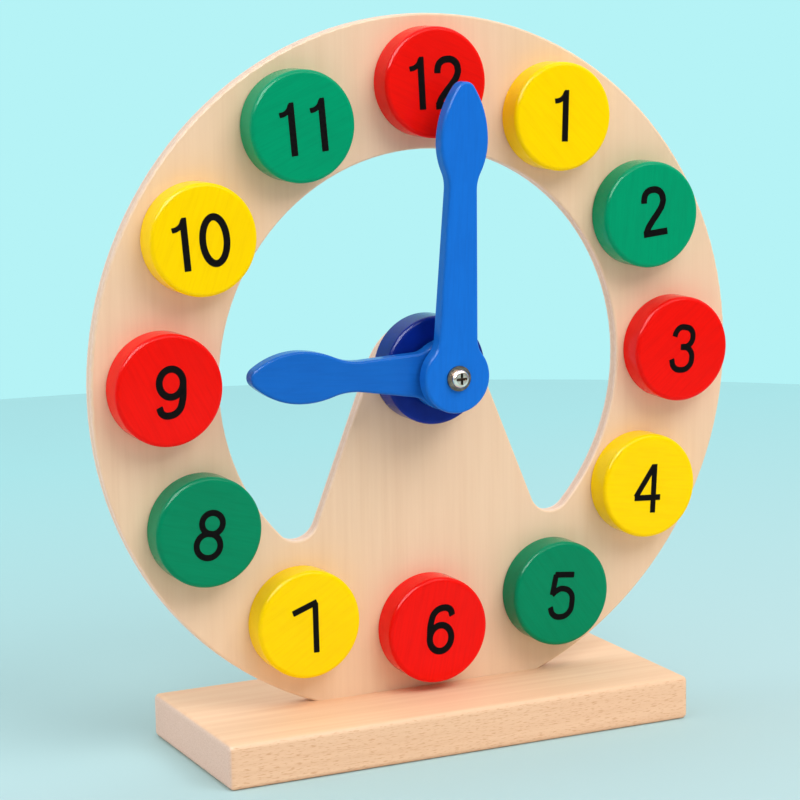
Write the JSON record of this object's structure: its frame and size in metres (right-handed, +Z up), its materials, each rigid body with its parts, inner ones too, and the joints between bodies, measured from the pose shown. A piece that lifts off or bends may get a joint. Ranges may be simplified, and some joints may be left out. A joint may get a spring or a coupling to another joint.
{
  "type": "teaching clock",
  "caption": "Free-standing wooden teaching clock: open ring dial on a base block, loose coloured number discs on pegs, and two hands that turn on one screw over a round hub.",
  "frame": {"origin": "on the table under the middle of the dial, halfway between the front and back edges of the base", "axes": "+Z up, -Y the way the dial faces, +X to the right of a viewer who looks at the dial"},
  "size_m": [0.236, 0.07, 0.243],
  "materials": {
    "beech": "sanded and clear oiled beech",
    "birch_ply": "sanded and clear lacquered birch plywood",
    "paint_red": "satin red paint on wood",
    "paint_yellow": "satin yellow paint on wood",
    "paint_green": "satin green paint on wood",
    "paint_blue": "satin blue paint on wood",
    "paint_navy": "gloss navy paint on wood",
    "dowel_wood": "plain dowel",
    "nylon": "natural nylon",
    "steel": "bright nickel-plated steel",
    "black_print": "black pad-printed numerals"
  },
  "bodies": {
    "stand": {"base_block": "beech", "dial_plate": "birch_ply", "hub_block": "paint_navy", "rear_spacer": "nylon", "middle_spacer": "nylon", "front_washer": "steel", "pivot_screw": "steel"},
    "peg_01": {"disc_peg_01": "dowel_wood"},
    "disc_01": {"number_disc_01": "paint_yellow"},
    "peg_02": {"disc_peg_02": "dowel_wood"},
    "disc_02": {"number_disc_02": "paint_green"},
    "peg_03": {"disc_peg_03": "dowel_wood"},
    "disc_03": {"number_disc_03": "paint_red"},
    "peg_04": {"disc_peg_04": "dowel_wood"},
    "disc_04": {"number_disc_04": "paint_yellow"},
    "peg_05": {"disc_peg_05": "dowel_wood"},
    "disc_05": {"number_disc_05": "paint_green"},
    "peg_06": {"disc_peg_06": "dowel_wood"},
    "disc_06": {"number_disc_06": "paint_red"},
    "peg_07": {"disc_peg_07": "dowel_wood"},
    "disc_07": {"number_disc_07": "paint_yellow"},
    "peg_08": {"disc_peg_08": "dowel_wood"},
    "disc_08": {"number_disc_08": "paint_green"},
    "peg_09": {"disc_peg_09": "dowel_wood"},
    "disc_09": {"number_disc_09": "paint_red"},
    "peg_10": {"disc_peg_10": "dowel_wood"},
    "disc_10": {"number_disc_10": "paint_yellow"},
    "peg_11": {"disc_peg_11": "dowel_wood"},
    "disc_11": {"number_disc_11": "paint_green"},
    "peg_12": {"disc_peg_12": "dowel_wood"},
    "disc_12": {"number_disc_12": "paint_red"},
    "hour_hand": {"hour_hand": "paint_blue"},
    "minute_hand": {"minute_hand": "paint_blue"}
  },
  "joints": [
    {"name": "disc_pull_01", "type": "slide", "parent": "stand", "child": "peg_01", "axis": [0, -1, 0], "range_m": [0, 0.0045]},
    {"name": "disc_turn_01", "type": "hinge", "parent": "peg_01", "child": "disc_01", "pos_m": [0.04826, -0.001, 0.2075], "axis": [0, -1, 0], "continuous": true},
    {"name": "disc_pull_02", "type": "slide", "parent": "stand", "child": "peg_02", "axis": [0, -1, 0], "range_m": [0, 0.0045]},
    {"name": "disc_turn_02", "type": "hinge", "parent": "peg_02", "child": "disc_02", "pos_m": [0.08259, -0.001, 0.17244], "axis": [0, -1, 0], "continuous": true},
    {"name": "disc_pull_03", "type": "slide", "parent": "stand", "child": "peg_03", "axis": [0, -1, 0], "range_m": [0, 0.0045]},
    {"name": "disc_turn_03", "type": "hinge", "parent": "peg_03", "child": "disc_03", "pos_m": [0.0948, -0.001, 0.12491], "axis": [0, -1, 0], "continuous": true},
    {"name": "disc_pull_04", "type": "slide", "parent": "stand", "child": "peg_04", "axis": [0, -1, 0], "range_m": [0, 0.0045]},
    {"name": "disc_turn_04", "type": "hinge", "parent": "peg_04", "child": "disc_04", "pos_m": [0.0816, -0.001, 0.07764], "axis": [0, -1, 0], "continuous": true},
    {"name": "disc_pull_05", "type": "slide", "parent": "stand", "child": "peg_05", "axis": [0, -1, 0], "range_m": [0, 0.0045]},
    {"name": "disc_turn_05", "type": "hinge", "parent": "peg_05", "child": "disc_05", "pos_m": [0.04654, -0.001, 0.04331], "axis": [0, -1, 0], "continuous": true},
    {"name": "disc_pull_06", "type": "slide", "parent": "stand", "child": "peg_06", "axis": [0, -1, 0], "range_m": [0, 0.0045]},
    {"name": "disc_turn_06", "type": "hinge", "parent": "peg_06", "child": "disc_06", "pos_m": [-0.00099, -0.001, 0.0364], "axis": [0, -1, 0], "continuous": true},
    {"name": "disc_pull_07", "type": "slide", "parent": "stand", "child": "peg_07", "axis": [0, -1, 0], "range_m": [0, 0.0045]},
    {"name": "disc_turn_07", "type": "hinge", "parent": "peg_07", "child": "disc_07", "pos_m": [-0.04826, -0.001, 0.0443], "axis": [0, -1, 0], "continuous": true},
    {"name": "disc_pull_08", "type": "slide", "parent": "stand", "child": "peg_08", "axis": [0, -1, 0], "range_m": [0, 0.0045]},
    {"name": "disc_turn_08", "type": "hinge", "parent": "peg_08", "child": "disc_08", "pos_m": [-0.08259, -0.001, 0.07936], "axis": [0, -1, 0], "continuous": true},
    {"name": "disc_pull_09", "type": "slide", "parent": "stand", "child": "peg_09", "axis": [0, -1, 0], "range_m": [0, 0.0045]},
    {"name": "disc_turn_09", "type": "hinge", "parent": "peg_09", "child": "disc_09", "pos_m": [-0.0948, -0.001, 0.12689], "axis": [0, -1, 0], "continuous": true},
    {"name": "disc_pull_10", "type": "slide", "parent": "stand", "child": "peg_10", "axis": [0, -1, 0], "range_m": [0, 0.0045]},
    {"name": "disc_turn_10", "type": "hinge", "parent": "peg_10", "child": "disc_10", "pos_m": [-0.0816, -0.001, 0.17416], "axis": [0, -1, 0], "continuous": true},
    {"name": "disc_pull_11", "type": "slide", "parent": "stand", "child": "peg_11", "axis": [0, -1, 0], "range_m": [0, 0.0045]},
    {"name": "disc_turn_11", "type": "hinge", "parent": "peg_11", "child": "disc_11", "pos_m": [-0.04654, -0.001, 0.20849], "axis": [0, -1, 0], "continuous": true},
    {"name": "disc_pull_12", "type": "slide", "parent": "stand", "child": "peg_12", "axis": [0, -1, 0], "range_m": [0, 0.0045]},
    {"name": "disc_turn_12", "type": "hinge", "parent": "peg_12", "child": "disc_12", "pos_m": [0.00099, -0.001, 0.2207], "axis": [0, -1, 0], "continuous": true},
    {"name": "hour_hand_turn", "type": "hinge", "parent": "stand", "child": "hour_hand", "pos_m": [0, -0.0162, 0.125], "axis": [0, 1, 0], "continuous": true},
    {"name": "minute_hand_turn", "type": "hinge", "parent": "stand", "child": "minute_hand", "pos_m": [0, -0.0232, 0.125], "axis": [0, 1, 0], "continuous": true}
  ]
}
